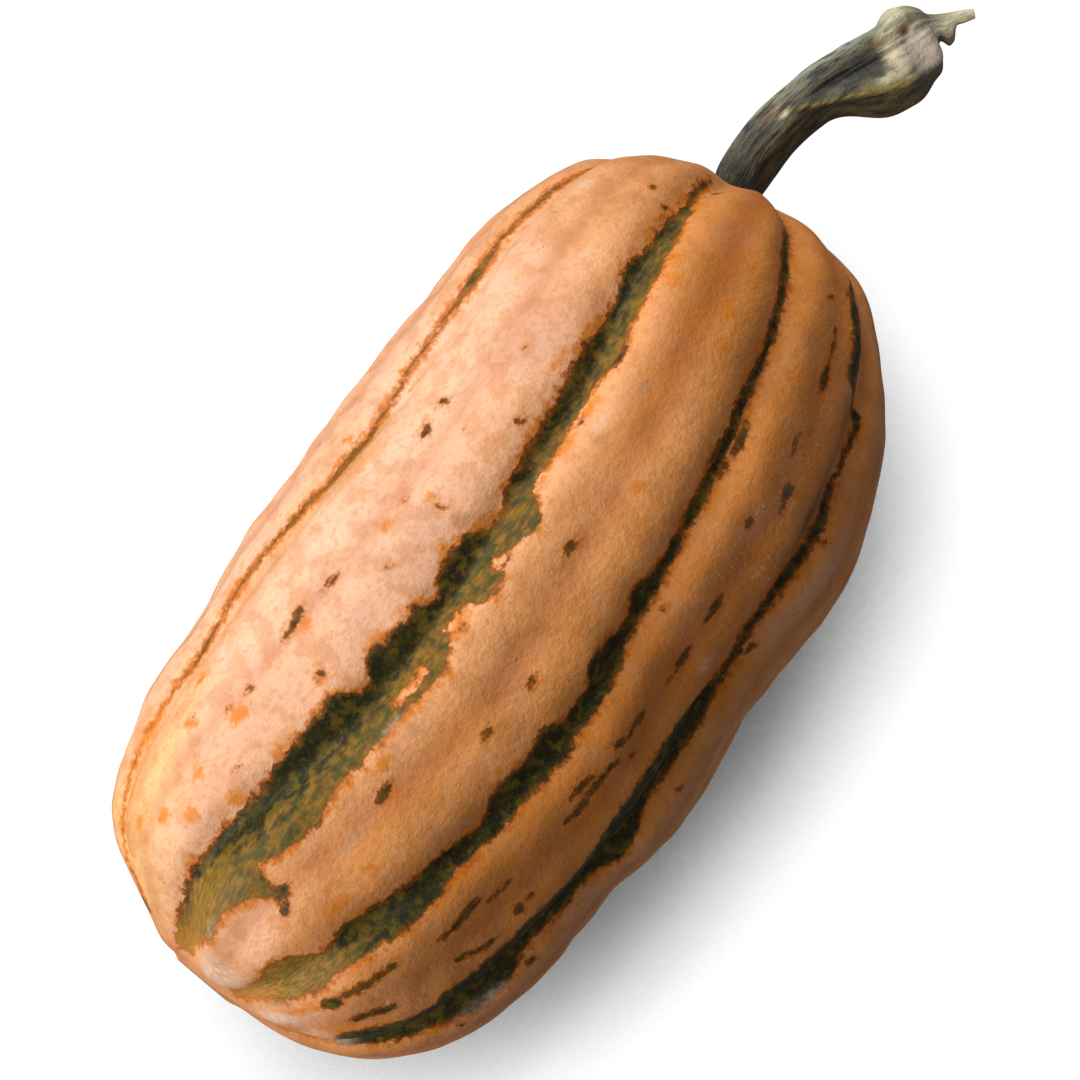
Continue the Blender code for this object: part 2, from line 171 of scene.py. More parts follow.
# Dark stripes that face the camera, one group for each groove. Each row gives a place along the rib, then the
# degrees at which the dark green starts, turns to olive and ends. A row that ends before it starts is a gap.
# Where a stripe has both, the dark green on the groove wall turned from the lights is partly painted shade,
# and the olive on the wall facing them is partly painted light.
STRIPES = (
    (
        (22, -79, -84, -80.2), (30, -76.6, -80, -77.6), (40, -71.6, -76, -72.4), (50, -69.8, -74, -70.4),
        (60, -66.3, -70, -66.6), (65, -64.9, -70, -65.1), (70, -63.9, -68, -63.1), (80, -62.9, -66, -62.3),
        (90, -61.4, -64, -60.7), (96, -59.8, -62, -58.9), (104, -57, -58, -55.9), (108, -55.2, -56, -53.8),
        (116, -53.9, -54.4, -52.2), (120, -54, -54.6, -52.6), (124, -54.7, -55.5, -53.9),
        (130, -56, -57, -55.4), (136, -56.6, -58, -55.9), (142, -57.3, -59, -56.6),
        (147, -58.4, -60, -57.2), (151, -59.6, -60, -57.1), (156, -59.5, -60.5, -57.6),
        (160, -60, -62, -58.9), (171, -61.6, -63, -60.5), (175, -62.3, -63, -60.8),
        (179, -61.6, -64, -60.8), (184, -61.4, -66, -61.3), (192, -61, -68, -62.5),
    ),
    (
        (14, -38, -36, -28), (18, -39, -37.5, -26), (22, -37, -36, -20.5), (25, -35, -34, -17),
        (28, -33.4, -32, -13), (32, -31.6, -29.8, -12), (35, -30, -27.6, -11.6), (38, -28.4, -25, -8.5),
        (41, -26.6, -22.5, -5.5), (43.2, -25.4, -20.5, -0.5), (44.6, -24.8, -18.5, -2.5),
        (45.8, -24.2, -17, -6.4), (50, -21.5, -13.6, -5), (55, -19.3, -11, -2.5), (58, -18.2, -10.2, -1),
        (60, -18, -9.6, -1.5), (64, -17.6, -9, -2.5), (70, -16.6, -8, -1.4), (74, -16.2, -7.6, -1),
        (77.4, -15.8, -7, -0.7), (78.6, -13.2, -7, -0.6), (83, -12, -6.6, 0), (84.8, -14.2, -6.6, 0.6),
        (88, -14, -7, 0.8), (92, -13, -7.2, 0.6), (94.5, -12.4, -7.4, -1.2), (96.5, -12.8, -7.5, -2.6),
        (98.5, -10.4, -7.5, -1), (101, -10.4, -7.6, -2.8), (103.5, -12, -7.8, -0.6), (107, -12.6, -8, 0.6),
        (109, -12.6, -8.2, 0), (111.4, -12, -8.4, -1.4), (113.4, -10.4, -9, -1.6), (116, -8.9, -8.8, -1.2),
        (118, -8.7, -8.6, 0.2), (119.6, -9.4, -8.8, 0.5), (120.6, -11.2, -9.6, -0.6),
        (122.4, -11.4, -9.8, -3.4), (124.4, -11.8, -10, -6), (130, -13, -10.2, -7.5), (136, -14, -10, -8.4),
        (140, -14.8, -10.8, -9.3), (146, -16.2, -12.4, -9.5), (149, -16.6, -13, -8.2),
        (152.6, -16.4, -13.2, -8.2), (155, -16.1, -13.4, -9.3), (160, -16.5, -13.8, -9.6),
        (163, -17.3, -14, -9.8), (166.4, -18.8, -14.4, -10.2), (170, -17.6, -15, -10.8),
        (175, -18.4, -16, -12.2), (179, -18.8, -17, -13.3), (183, -18.2, -17.4, -14.2),
        (191, -20.2, -19.2, -17.6), (195, -22, -21, -19.8), (200, -24, -23, -22.2),
    ),
    (
        (13, 15, 12, 20), (18, 13.5, 11, 23), (22, 12, 9, 24.4), (26, 10.6, 8, 25.2), (30, 9.4, 7, 25.6),
        (33, 10.4, 8, 26.2), (35.4, 13.4, 12, 26.4), (37.5, 17.6, 17, 26.4), (41, 19.4, 21, 26.6),
        (44, 18.8, 24, 28), (47, 19.4, 28, 29.6), (50, 21.3, 33, 30.8), (55, 23, 36, 31.8),
        (60, 24.8, 36, 32.2), (64, 25.4, 36, 31.8), (68, 27.2, 36, 32.6), (72, 29.2, 37, 33.6),
        (75, 29.6, 37, 34.4), (77, 27.8, 37, 34.5), (80, 26.6, 37, 34.3), (86, 27, 37, 34.6),
        (90, 26.1, 37, 34.6), (93, 26, 37, 34.2), (94.4, 28, 37, 33.7), (98, 28.4, 37, 33.6),
        (102.6, 28.3, 37, 33.8), (104, 26.2, 37, 33.8), (108, 26, 37, 33), (111, 26.6, 36, 32.3),
        (113, 28.1, 36, 31.8), (115.6, 28, 36, 31.4), (117.4, 26.2, 35, 31.1), (120.6, 24.5, 35, 30.8),
        (123, 26, 34, 30.3), (127, 26, 33, 29.2), (131, 25.2, 32, 27.8), (136, 24.2, 31, 26.8),
        (140, 22.6, 30, 26), (143, 21.8, 28, 24.8), (147, 21, 28, 24.3), (151, 21.1, 27, 24),
        (156, 20.6, 27, 23.7), (163, 20.9, 27, 23.8), (166, 21.3, 27, 23.8), (172, 20.4, 27, 23.4),
        (178, 20, 27, 23.2), (185, 19.2, 27, 23.3), (192, 18.3, 23, 22.8), (196, 18.8, 21, 22.6),
        (200, 20.6, 20, 22.8), (204, 22, 20, 23),
    ),
    (
        (14, 62, 74, 68), (24, 58, 74, 69.5), (28, 49.4, 74, 70), (34, 49, 74, 70.3),
        (37.5, 51.4, 74, 70.4), (40, 54, 74, 70.5), (44, 55.4, 74, 71), (48, 53.8, 74, 72.2),
        (52, 56.2, 74, 72.3), (56, 57, 74, 71.4), (60, 57.4, 74, 69), (66, 57.6, 74, 68.4),
        (72, 58, 74, 68.9), (80, 58, 74, 68.4), (82.5, 57.4, 74, 70.2), (86, 56.2, 74, 70),
        (89, 55.2, 72, 68), (91, 54.8, 72, 66.4), (96, 53.8, 70, 64.8), (102, 53.6, 70, 64.4),
        (107, 54.4, 70, 64.2), (111, 56.4, 70, 63.8), (114, 59.4, 70, 63.4), (118, 60.6, 68, 62.8),
        (124, 60, 68, 62), (128, 58.6, 66, 60.6), (134, 57, 66, 59.4), (140, 56, 66, 58.6),
        (150, 56.3, 66, 59.2), (156, 56.8, 66, 58.6), (161, 58, 66, 59), (166, 59, 66, 60.2),
        (170, 58, 66, 61), (172, 51, 66, 58), (178, 48.8, 66, 54.4), (184, 47.6, 66, 52),
        (190, 48.2, 66, 51.4), (193, 52, 66, 54), (196, 58, 66, 60), (200, 64, 68, 66),
    ),
)
# Millimetres of orange round each of these stripes, and how far its edges wander
STRIPE_HALOS = (1.1, 0.9, 0.8, 0.8)
STRIPE_WANDER = (0.35, 1.0, 0.9, 0.9)

# Stripes of the hidden side: the number of its groove, and half its width in millimetres
HIDDEN_STRIPES = ((4, 1.0), (5, 2.7), (6, 2.1), (7, 3.0), (8, 2.2), (9, 2.6))
HIDDEN_HALO = 0.9
HIDDEN_WANDER = 1.5
HIDDEN_SEED = 21
HIDDEN_STRIPE_PLACES = (9.0, 207.0)
HIDDEN_ROW_STEP = 5.0
HIDDEN_UNEVENNESS = 0.38

# Gaps of plain rind inside a stripe, and dark flecks outside them: two ends of a dash and half its width
STRIPE_GAPS = (
    (81.4, -3, 88.4, -2.6, 0.95), (96.8, -3.6, 101.4, -2.2, 1.2), (109.9, -2.4, 111.2, -2.2, 1.2),
    (142.5, 24.4, 156, 24.7, 0.16), (40.5, 27.4, 48, 30, 0.2),
)
FLECKS = (
    (42, 4.2, 44, 2.4, 0.75), (43.8, 0.6, 46.2, 0.8, 1), (44.2, -1.8, 45.4, 1.6, 0.9),
    (69.8, -34.4, 71.2, -34, 0.4), (66.2, -36.8, 66.6, -36.4, 0.25), (58.2, -25.2, 58.6, -24.8, 0.3),
    (75.3, -34, 75.6, -33.8, 0.2), (81, -33.6, 83.5, -33.8, 0.5), (83, -33.8, 86.6, -34.4, 0.75),
    (91.5, -32, 94, -31.8, 0.45), (78.8, -21, 79.4, -20, 0.5), (122.2, -35, 123.6, -35.2, 0.75),
    (123.6, -35.4, 124.2, -36.4, 0.4), (128.7, -36.8, 129.2, -35.4, 0.45),
    (110.8, -28.6, 110.9, -28.3, 0.2), (112.9, -20.8, 113, -20.4, 0.3), (113.1, -19.2, 113.3, -19, 0.3),
    (100, -22, 100.2, -21.8, 0.3), (131.8, -17.8, 132.6, -17, 0.65), (148.2, -8.4, 152.8, -8, 0.7),
    (137.4, -7.6, 137.8, -6.8, 0.4), (67, 6.9, 70, 6.6, 0.75), (118, 8.6, 120.4, 8.2, 0.7),
    (85.2, 16.4, 87, 16.4, 0.6), (96.2, 17.4, 97.8, 17.2, 0.5), (32.6, 31.6, 35.2, 32.6, 1.3),
    (35.6, 31.4, 38.5, 32.6, 0.4), (38.5, 32.6, 41.5, 33.8, 0.75), (41.5, 33.8, 46.8, 35.2, 0.55),
    (33.8, 42.4, 36.6, 43, 0.85), (36.6, 43.4, 40.6, 45.8, 0.7), (53.8, 39.9, 57, 40.6, 0.4),
    (57, 40.6, 63, 40, 0.8), (63.5, 43, 65, 43.2, 0.3), (65.8, 43.4, 69, 43.8, 0.4),
    (52.8, 48.8, 55, 49.8, 0.6), (55.2, 50.4, 57.6, 52.6, 0.5), (57.6, 52.6, 60, 53, 0.6),
    (65.8, 52.6, 66.8, 51.4, 0.8), (69, 51.8, 69.6, 52.2, 0.5), (81.8, 44.8, 84, 45.2, 0.4),
    (83.6, 45.6, 87, 44.8, 0.75), (86, 44.8, 95.6, 43.7, 0.6), (85.6, 41.6, 86.4, 41, 0.4),
    (86.4, 41.2, 90.6, 41.4, 0.65), (97, 41.4, 98.4, 42, 0.75), (98.4, 42.4, 101.2, 43.2, 0.35),
    (100.8, 43, 104.5, 43.6, 0.5), (111, 46, 115, 45.6, 0.3), (114.4, 45.6, 118.2, 45.2, 0.7),
    (123.4, 43.8, 127.8, 42.8, 0.7), (139.8, 37, 141.2, 36.4, 0.7), (144.8, 42.2, 147.2, 41.2, 0.4),
    (147.2, 40.6, 149.6, 41, 0.95), (154, 38, 158, 37.8, 0.4), (167, 40, 171.8, 40.7, 0.75),
    (171.5, 40.8, 179.5, 40.9, 0.3), (183.8, 36.8, 184.8, 39, 0.35), (142.5, 25.3, 146.5, 25.2, 0.55),
    (148, 25.4, 154, 25.2, 0.75), (119.6, 33.4, 120.4, 33, 0.4), (44.8, 74, 45.2, 75.6, 0.35),
    (60, 71.2, 61.4, 71.8, 0.6), (146.6, 61, 147.6, 61.4, 0.5), (97.2, 47, 98, 47.2, 0.4),
    (98.8, 68.8, 99.6, 69.2, 0.5), (124.6, 63, 126, 62.8, 0.6), (194.4, -14.2, 195.2, -13.8, 0.5),
    (182.8, -28, 183.2, -27.6, 0.5), (180.8, -21.6, 181.8, -21, 0.4), (143.1, -27.4, 143.3, -27.2, 0.2),
    (154.8, 4.2, 155, 4.4, 0.25),
)
# Orange spots of the rind, given as flecks are
SPOTS = (
    (47.4, -32.2, 47.8, -30.4, 1.5), (54, -35, 55, -34.6, 0.9), (60.6, -45.6, 61.4, -43.4, 1.1),
    (65.4, -33.2, 67.2, -32, 1.7), (44.4, -41, 45.2, -39.6, 1.3), (40.4, -51, 41.8, -51, 0.9),
    (67.4, -51.6, 69.4, -50, 0.8), (53.6, -23.4, 54.4, -21, 1.4), (64, -19.6, 65, -19.4, 0.8),
    (83.2, -31.2, 85.2, -31, 0.9), (78, -19.4, 79.4, -21.4, 1.1), (105, -28.2, 106.4, -27.8, 0.9),
    (113.2, -24, 113.7, -23.4, 0.7), (94.4, -15.2, 95.4, -15, 0.7), (107.4, -14.8, 107.8, -14.6, 0.5),
    (96.4, -12.6, 98.4, -11.8, 0.9), (122, -36, 124.8, -36.4, 0.9), (128.4, -36.4, 129.4, -35.6, 0.9),
    (131.6, -17.8, 132.8, -17.2, 0.9), (142.6, -19.2, 146, -19, 0.7), (121, -11.6, 127, -13.4, 0.6),
    (129, -52.2, 131, -52, 0.6), (115.5, -57.4, 117, -57, 0.7), (71.8, 2.6, 73, 2.6, 1.2),
    (67, 7.2, 69.4, 7.8, 1.1), (46.2, 14, 50.4, 14.6, 0.7), (56.6, 14, 57.2, 14.6, 0.7),
    (44.4, 18.6, 49, 19.4, 0.8), (49.2, 9.4, 51.8, 10.4, 0.4), (97, 18.8, 98.4, 17.4, 0.7),
    (103, 25.2, 103.8, 25.6, 0.5), (82, 24, 82.8, 24.2, 0.6), (132.4, 11.8, 134.2, 11.8, 0.7),
    (125, 19.8, 126, 19.8, 0.5), (120.4, 9, 122.6, 8, 0.5), (161, 10.8, 162.4, 10.8, 0.7),
    (166, 9, 170, 7.6, 0.7), (166.8, -7.6, 167.6, -5.4, 1.4), (169.6, -8.8, 171.2, -8.4, 0.8),
    (158.8, -9.4, 163, -9.2, 0.4), (138.8, -7.2, 142.2, -7.6, 1), (130.8, -6.6, 135, -6.4, 1.1),
    (97.6, -1.2, 98.6, -3.2, 0.9), (81.6, 0.4, 84.4, 1.2, 0.8), (85.4, 1.4, 91.6, 1.2, 0.6),
    (17, 29.8, 32, 31, 0.55), (28, 28.4, 33, 29.6, 0.3), (164.6, 31.8, 167, 31.8, 0.6),
    (67.4, 52.2, 69.2, 52, 0.9), (79.6, 54.2, 80.8, 54.2, 0.6), (144.4, 73, 145.4, 75.6, 0.5),
    (116.4, 43.8, 120, 43.2, 0.3), (155, 69, 159.6, 68, 1.2), (147, 70.8, 149.4, 71.6, 1.1),
)
# Millimetres of orange inside the edge of a gap
GAP_EDGE = 0.4
# Millimetres from a stripe's olive part that flecks count as, since they have none
NO_OLIVE = -6.0
# Millimetres of orange round a fleck
FLECK_FRINGE = 0.35
# Seeded flecks and spots of the hidden side: how many, their seed, greatest length and greatest half width.
# Then the millimetres along the rib and the degrees round the fruit that they lie between.
HIDDEN_FLECKS = (46, 3, 9.0, 0.95)
HIDDEN_SPOTS = (26, 4, 3.0, 1.5)
HIDDEN_MARK_PLACES = (20.0, 190.0)
HIDDEN_MARK_TURNS = (84.0, 284.0)

# Whitish, rubbed patches of the rind: place, degrees, half length, half width in degrees, strength
SCUFFS = (
    (18, -3, 6, 14, 0.75), (30, -14, 3, 2, 0.25), (19.5, 36, 4.5, 7, 0.8), (24, 58, 3.4, 12, 0.9),
    (59.5, 7.4, 4.5, 1.2, 0.22), (78, -0.8, 2.6, 0.8, 0.4), (51, 71.6, 5, 1.6, 0.5), (152, -46, 7, 6, 0.35),
    (162, -27, 4, 3, 0.35), (139.5, -3, 3.4, 1.4, 0.4), (176.5, -47, 3, 3, 0.5), (73.5, -48, 2.4, 4, 0.6),
    (147, 38.5, 14, 3.4, 0.12), (117.5, 52, 1.6, 1.6, 0.55), (140, 66, 12, 3.4, 0.28),
    (14, 120, 6, 40, 0.5), (30, 215, 8, 12, 0.4),
)
# Patches of short pale scratches across the rib, given the same way
SCRATCHES = (
    (150.4, -37, 4.4, 1.4, 1), (154, -41, 6, 4.4, 0.7), (141, -43, 3, 2.4, 0.5),
    (161.5, -26.5, 3.4, 2.4, 0.6), (38, 37, 2.4, 2.4, 0.4), (41.5, 44.5, 2.4, 3, 0.4),
    (133, 39, 6, 2, 0.45), (145, 38, 9, 2.6, 0.5), (152, 44.5, 9, 3, 0.35), (136, 50, 5, 5, 0.5),
    (80, 250, 9, 6, 0.6), (130, 150, 10, 5, 0.6),
)


def screen(red, green, blue):
    """A colour given as 0 to 255 on a screen, as the linear values that materials take."""
    share = np.array((red, green, blue)) / 255
    return tuple(np.where(share <= 0.04045, share / 12.92, ((share + 0.055) / 1.055) ** 2.4))


# Colours of the rind
PEACH = screen(232, 160, 98)
PINK = screen(242, 194, 160)
APRICOT = screen(224, 144, 72)
AMBER = screen(214, 130, 50)
UMBER_RIND = screen(190, 112, 40)
YELLOW = screen(246, 194, 122)
ORANGE = screen(214, 122, 22)
RUST = screen(140, 76, 16)
WASH = screen(194, 142, 58)
BURNT = screen(182, 96, 16)
ROSE_GREY = screen(204, 152, 126)
SMUDGE = screen(140, 122, 100)
RUBBED_STRIPE = screen(96, 68, 46)
DARK_GREEN = screen(32, 33, 10)
MOSS = screen(66, 62, 16)
OLIVE = screen(108, 88, 22)
MOSS_OLIVE = screen(84, 80, 32)
GOLD = screen(152, 106, 30)
SCUFFED = screen(234, 206, 184)
SPECK = screen(120, 84, 56)
# Pale specks on the stripes: wax bloom, and partly painted glints
BLOOM_AND_GLINT = screen(168, 172, 150)
CORK = screen(176, 150, 118)

# Soft areas of other rind colour: place, degrees, half length, half width in degrees, colour, strength
RIND_AREAS = (
    # The first two areas are painted light and painted shade: lighter and pinker on the side facing the
    # lights, darker and more amber on the side turned from them
    (100, -52, 84, 46, PINK, 1),
    (108, 52, 120, 34, AMBER, 0.9),
    (205, 0, 46, 150, APRICOT, 0.45),
    (188, 16, 38, 40, AMBER, 0.7),
    (34, -62, 18, 22, YELLOW, 0.7),
    (56, -50, 16, 6, YELLOW, 0.6),
    (47, -63, 16, 7.5, APRICOT, 0.85),
    (24, 2, 18, 20, PINK, 0.6),
    (20, 35, 14, 10, PINK, 0.6),
    (27, -4, 1.2, 1.6, SMUDGE, 0.5),
    (23, 26.4, 5, 2, SMUDGE, 0.6),
    (60, -27, 22, 6, ROSE_GREY, 0.35),
    (104, -19, 22, 6, ROSE_GREY, 0.5),
    (147, -26, 9, 7, ROSE_GREY, 0.6),
    (88, -55, 26, 7, APRICOT, 0.6),
    (114, -50.4, 10, 2.6, OLIVE, 0.45),
    (112, -45.8, 8, 2.4, APRICOT, 0.8),
    (60, 12, 50, 5, APRICOT, 0.5),
    # Darker band along the valley of the rib near the stem end: partly painted shade of that valley
    (164, 3, 36, 6, UMBER_RIND, 0.7),
    (45, 42, 14, 10, PEACH, 0.6),
    (100, 40, 60, 9, UMBER_RIND, 0.35),
    (90, 74, 50, 5, ROSE_GREY, 0.35),
    (140, 66, 14, 4, ROSE_GREY, 0.5),
    (150, 88, 60, 24, APRICOT, 0.6),
    (150, 53, 11, 3.8, RUBBED_STRIPE, 0.9),
    (166, 54.4, 7, 4.6, RUST, 0.8),
    (112.6, -15, 1.4, 1.8, SMUDGE, 0.6),
    (79.6, 3.6, 1, 1.8, SMUDGE, 0.4),
    (53, 3, 0.9, 1.6, SMUDGE, 0.4),
    (136.5, -1, 1.2, 0.9, SMUDGE, 0.7),
    (148, 0.2, 1.6, 1.3, SMUDGE, 0.45),
    (58.6, 7.6, 4, 1.2, SMUDGE, 0.4),
    (128, -44.4, 0.8, 1.6, SMUDGE, 0.3),
    (178.8, -29.6, 0.8, 1.2, SMUDGE, 0.6),
    (168.6, -46.6, 0.8, 1, SMUDGE, 0.7),
    (90, 178, 60, 30, YELLOW, 0.8),
    (110, 240, 80, 40, PEACH, 0.8),
)
# The line down the middle of each rib, along its valley, a little darker and pinker, partly as painted shade
# of that valley: half its width and its strength
RIB_LINE_HALF_WIDTH = 2.2
RIB_LINE_STRENGTH = 0.6
# Millimetres from the blossom pole where the stripes' olive part and dark part have their full colour, and
# where they are washed out
OLIVE_FULL = 50.0
STRIPE_FULL = 26.0
STRIPE_WASHED = 15.0
# Millimetres from the blossom pole where the corky scar ends, and where it is full
SCAR_END = 7.5
SCAR_FULL = 4.0

# Colours of the stem
BARK = screen(98, 95, 70)
PALE_BARK = screen(160, 164, 142)
CHARCOAL = screen(38, 40, 38)
SLATE = screen(22, 32, 38)
UMBER = screen(64, 56, 38)
OLIVE_BARK = screen(112, 94, 50)
CREST_YELLOW = screen(158, 136, 54)
CREAM = screen(222, 206, 172)
LICHEN = screen(212, 210, 168)
PIT_BROWN = screen(142, 94, 34)
CUT_FACE = screen(202, 184, 168)
STRAW = screen(240, 228, 190)
BUMP_BROWN = screen(160, 132, 106)

# Coloured areas of the stem, laid over each other in this order: millimetres from its root, degrees, half
# length, half width in degrees, colour, strength
STEM_AREAS = (
    # Painted light and painted shade: pale bark on the side facing the lights, umber on the underside turned
    # from them
    (30, -62, 20, 40, PALE_BARK, 0.9),
    (26, 120, 26, 60, UMBER, 0.9),
    (26, 200, 26, 60, UMBER, 0.6),
    (6, 0, 4, 400, SLATE, 0.7),
    (12, -14, 8, 14, CHARCOAL, 0.9),
    (14, -44, 7, 12, SLATE, 0.6),
    (17, 20, 6, 12, BUMP_BROWN, 0.5),
    (20, -32, 3, 14, BUMP_BROWN, 0.8),
    (19, 44, 8, 20, OLIVE_BARK, 0.6),
    # Painted shade: slate in the hollow on the stem's side
    (33, 8, 8, 24, SLATE, 0.95),
    (37.6, 18, 3.6, 19, SLATE, 0.95),
    (37, 84, 9, 22, OLIVE_BARK, 0.9),
    (42.6, 20, 1.9, 34, CREAM, 0.9),
    (39.6, 48, 2.4, 6, CREAM, 0.7),
    (43.6, -10, 2.4, 22, CREAM, 0.7),
    (21.2, -5, 1.2, 8, CREAM, 0.95),
    (46.5, -60, 3.6, 50, LICHEN, 0.95),
    (48.6, 32, 4.2, 42, CUT_FACE, 0.95),
    (46.6, -8, 0.9, 9, PIT_BROWN, 0.95),
    (40.7, -20, 0.8, 7, PIT_BROWN, 0.9),
    (60, 0, 7.8, 400, STRAW, 1),
    (53.6, 84, 3, 30, BUMP_BROWN, 0.9),
)
# Parts of the stem that have no bark, given as areas are
BARE_AREAS = (
    (60, 0, 8.6, 400, 1), (49, 20, 5, 80, 1), (46.4, -60, 4.2, 60, 0.8), (42.8, 16, 2.6, 36, 0.8),
)
# The coloured line on the stem's crest: half its width in degrees, where it runs and how softly it ends
CREST_TINT_WIDTH = 4.5
CREST_TINT_RANGE = (21.5, 45.0)
CREST_TINT_FADE = 4.0

# Stage
CAMERA_AZIMUTH = -56.0
CAMERA_ELEVATION = 80.0
CAMERA_TARGET = (0.0065, 0.0037, 0.0431)
CAMERA_DISTANCE = 0.75
CAMERA_LENS = 143.6
FLOOR_SIZE = 20.0
# Place of each soft light, and its power in watts
SOFT_LIGHTS = (
    ("blossom_side", (-0.98, 0.57, 0.58), 15.0),
    ("stem_side", (0.51, 0.89, 0.74), 13.5),
)
LIGHT_SIZE = 1.0
WORLD_STRENGTH = 0.2
# The floor is made white by its own painted glow over a dark colour; the glow does not light the squash
FLOOR_COLOUR = (0.10, 0.10, 0.10)
FLOOR_GLOW = 1.0
# The floor's painted soft shadow beside what lies on it, made by dimming its glow: how steeply it looks up
# for each light, how far off things still hide them, and how open it is where the shadow is darkest and where
# it ends
CONTACT_LOOK_UP = 0.9
CONTACT_REACH = 0.040
CONTACT_SAMPLES = 5
CONTACT_DARKEST = 0.40
CONTACT_CLEAR = 0.68
FLOOR_ROUGHNESS = 0.9
RIND_SPECULAR = 0.2
# Metres of relief that the materials' bumps stand high
RIND_RELIEF = 0.00035
STEM_RELIEF = 0.0006

# Sockets of the mix node that carry colours
MIX_FIRST = 6
MIX_SECOND = 7
MIX_RESULT = 2


def smooth(at, places, values):
    """A smooth curve through values at places, read at the points in at."""
    places = np.asarray(places, float)
    values = np.asarray(values, float)
    slopes = np.gradient(values, places, axis=0)
    at = np.clip(at, places[0], places[-1])
    i = np.clip(np.searchsorted(places, at) - 1, 0, len(places) - 2)
    span = places[i + 1] - places[i]
    t = (at - places[i]) / span
    if values.ndim > 1:
        span, t = span[:, None], t[:, None]
    return (
        values[i] * (2 * t**3 - 3 * t**2 + 1)
        + values[i + 1] * (3 * t**2 - 2 * t**3)
        + slopes[i] * span * (t**3 - 2 * t**2 + t)
        + slopes[i + 1] * span * (t**3 - t**2)
    )


def apart(turn, angle):
    """Degrees from angle to turn, the short way round."""
    return (turn - angle + 180.0) % 360.0 - 180.0


def meridian(rings):
    """The fruit's outline from its blossom pole to the socket: x, radius, normal in x and in radius, place
    along the length from -1 to 1, and metres along the rind."""
    turn = np.linspace(0.0, np.pi, FINE)
    c, s = np.cos(turn), np.sin(turn)
    power = np.where(c > 0, 2 / BLOSSOM_SQUARENESS, 2 / STEM_SQUARENESS)
    u = -np.sign(c) * np.abs(c) ** power
    radius = FRUIT_RADIUS * s**power * smooth(u, GIRTH_PLACES, GIRTH_SHARES)
    x = FRUIT_LENGTH / 2 * u
    x = x + np.where(u < 0, BLOSSOM_DIMPLE * np.exp(-((radius / BLOSSOM_DIMPLE_RADIUS) ** 2)), 0.0)
    x = x - np.where(u < 0, SCAR_HEIGHT * np.exp(-(((radius - SCAR_RADIUS) / SCAR_HALF_WIDTH) ** 2)), 0.0)
    x = x - np.where(u > 0, STEM_DIMPLE * np.exp(-((radius / STEM_DIMPLE_RADIUS) ** 2)), 0.0)
    keep = (u < 0) | (radius > SOCKET_RADIUS)
    x, radius, u = x[keep], radius[keep], u[keep]
    step = np.hypot(np.diff(x), np.diff(radius))
    length = np.concatenate([[0.0], np.cumsum(step)])
    share = np.linspace(0.0, 1.0, rings)
    share = share - END_CROWDING * np.sin(2 * np.pi * share) / (2 * np.pi)
    at = share * length[-1]
    normal_x = -np.gradient(radius, length)
    normal_r = np.gradient(x, length)
    return tuple(np.interp(at, length, v) for v in (x, radius, normal_x, normal_r, u, length))


def groove_field(u, turn):
    """For each ring and angle: the place between two grooves from 0 to 1, the angle to the nearest groove,
    the angle between the two, and the depth of the nearest."""
    shape = (len(u), len(turn))
    below = np.full(shape, np.inf)
    above = np.full(shape, np.inf)
    depth_below = np.zeros(shape)
    depth_above = np.zeros(shape)
    for angles, depth in GROOVES:
        middle = np.radians(smooth(u, GROOVE_PLACES, angles))[:, None]
        ahead = (turn[None, :] - middle) % (2 * np.pi)
        behind = 2 * np.pi - ahead
        depth_below = np.where(ahead < below, depth, depth_below)
        below = np.minimum(below, ahead)
        depth_above = np.where(behind < above, depth, depth_above)
        above = np.minimum(above, behind)
    gap = below + above
    nearest = np.minimum(below, above)
    depth = np.where(below < above, depth_below, depth_above)
    return below / gap, nearest, gap, depth


def lumps(x, y, z, seed, count, size, length):
    """A gentle unevenness of the rind, the same on every run: count waves about as long as length."""
    random = np.random.default_rng(seed)
    height = np.zeros(np.broadcast(x, y, z).shape)
    for _ in range(count):
        direction = random.normal(size=3)
        direction *= 2 * np.pi / length * random.uniform(0.6, 1.5) / np.linalg.norm(direction)
        phase = random.uniform(0, 2 * np.pi)
        height += np.sin(direction[0] * x + direction[1] * y + direction[2] * z + phase)
    return height * size * np.sqrt(2 / count)


